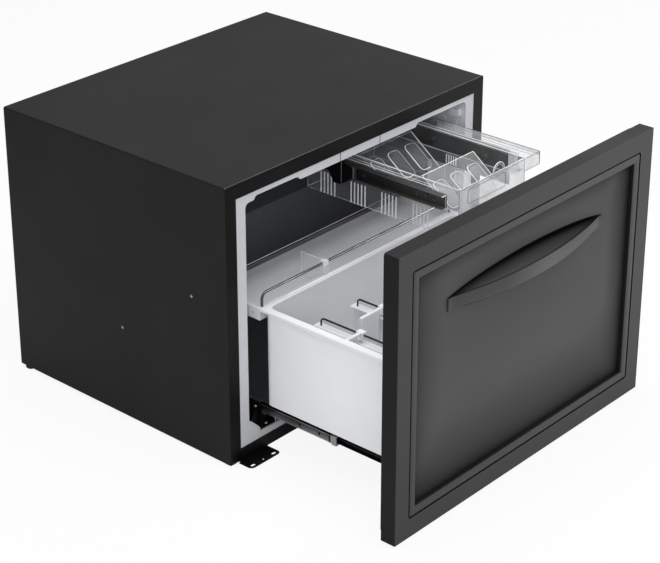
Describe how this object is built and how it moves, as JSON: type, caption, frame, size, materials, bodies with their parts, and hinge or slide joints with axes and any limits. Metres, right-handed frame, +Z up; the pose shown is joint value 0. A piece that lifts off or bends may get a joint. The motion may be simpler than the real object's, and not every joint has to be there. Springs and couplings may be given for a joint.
{
  "type": "drawer minibar",
  "caption": "Built-in drawer refrigerator: black steel cabinet, framed pull-out front with bowed pull, deep white bin with rear shelf, and a clear bottle tray on slides.",
  "frame": {"origin": "middle of the whole part's footprint with the drawer out, at floor level", "axes": "+X to the right as seen from the front, +Y towards the back, +Z up"},
  "size_m": [0.598, 0.8015, 0.452],
  "materials": {
    "black_steel": "satin",
    "charcoal_steel": "satin",
    "white_plastic": "satin",
    "grey_plastic": "satin",
    "dark_plastic": "satin",
    "zinc_steel": "satin",
    "dark_steel": "satin",
    "chrome": "gloss",
    "clear_plastic": "gloss",
    "rubber": "matte",
    "foam": "matte",
    "copper": "satin"
  },
  "bodies": {
    "cabinet": {"outer_wrapper": "black_steel", "bottom_panel": "black_steel", "rear_panel": "black_steel", "machine_cover": "black_steel", "insulation_foam": "foam", "inner_liner": "white_plastic", "front_trim": "grey_plastic", "trim_clip": "grey_plastic", "step_cover": "dark_plastic", "evaporator_plate": "dark_plastic", "lamp_switch": "white_plastic", "side_rivets": "zinc_steel", "rubber_feet": "rubber", "foot_screws": "zinc_steel", "floor_bracket_left": "black_steel", "floor_bracket_right": "black_steel", "bracket_screws": "zinc_steel", "rear_screws": "zinc_steel", "cable_gland": "dark_plastic", "compressor": "black_steel", "compressor_grommets": "rubber", "condenser_coil": "black_steel", "refrigerant_pipes": "copper", "drip_tray": "white_plastic", "control_box": "dark_plastic", "slide_bracket_left": "black_steel", "slide_bracket_right": "black_steel", "slide_screws": "zinc_steel", "slide_fixed_left": "zinc_steel", "slide_fixed_right": "zinc_steel", "tray_hanger_left": "black_steel", "tray_hanger_right": "black_steel", "tray_rail_left": "zinc_steel", "tray_rail_right": "zinc_steel"},
    "slide_middle": {"slide_middle_left": "zinc_steel", "slide_middle_right": "zinc_steel", "slide_end_caps": "grey_plastic"},
    "drawer": {"slide_moving_left": "zinc_steel", "slide_moving_right": "zinc_steel", "drawer_carrier_left": "black_steel", "drawer_carrier_right": "black_steel", "front_skin": "charcoal_steel", "front_bead": "charcoal_steel", "front_panel": "charcoal_steel", "pull_cup": "charcoal_steel", "pull_lip": "charcoal_steel", "front_foam": "foam", "front_plug": "white_plastic", "door_gasket": "rubber", "drawer_bin": "white_plastic", "rim_guides": "grey_plastic", "shelf_rail": "chrome", "bottle_ledges": "white_plastic", "bottle_guards": "chrome"},
    "left_separator": {"separator_left": "white_plastic"},
    "right_separator": {"separator_right": "white_plastic"},
    "shelf_divider": {"shelf_divider": "clear_plastic"},
    "tray": {"clear_tray": "clear_plastic", "bottle_rests": "clear_plastic", "tray_channels": "dark_steel"}
  },
  "joints": [
    {"name": "drawer_slide", "type": "slide", "parent": "cabinet", "child": "drawer", "axis": [0, 1, 0], "range_m": [0, 0.282]},
    {"name": "slide_middle_travel", "type": "slide", "parent": "cabinet", "child": "slide_middle", "axis": [0, 1, 0], "range_m": [0, 0.141]},
    {"name": "tray_slide", "type": "slide", "parent": "cabinet", "child": "tray", "axis": [0, 1, 0], "range_m": [0, 0.166]},
    {"name": "left_separator_slide", "type": "slide", "parent": "drawer", "child": "left_separator", "axis": [0, 1, 0], "range_m": [-0.1135, 0.065]},
    {"name": "right_separator_slide", "type": "slide", "parent": "drawer", "child": "right_separator", "axis": [0, 1, 0], "range_m": [-0.1415, 0.037]},
    {"name": "shelf_divider_slide", "type": "slide", "parent": "drawer", "child": "shelf_divider", "axis": [1, 0, 0], "range_m": [-0.117, 0.283]}
  ],
  "couplings": [
    {"joint": "slide_middle_travel", "follows": "drawer_slide", "ratio": 0.5},
    {"joint": "tray_slide", "follows": "drawer_slide", "ratio": 0.5886}
  ]
}
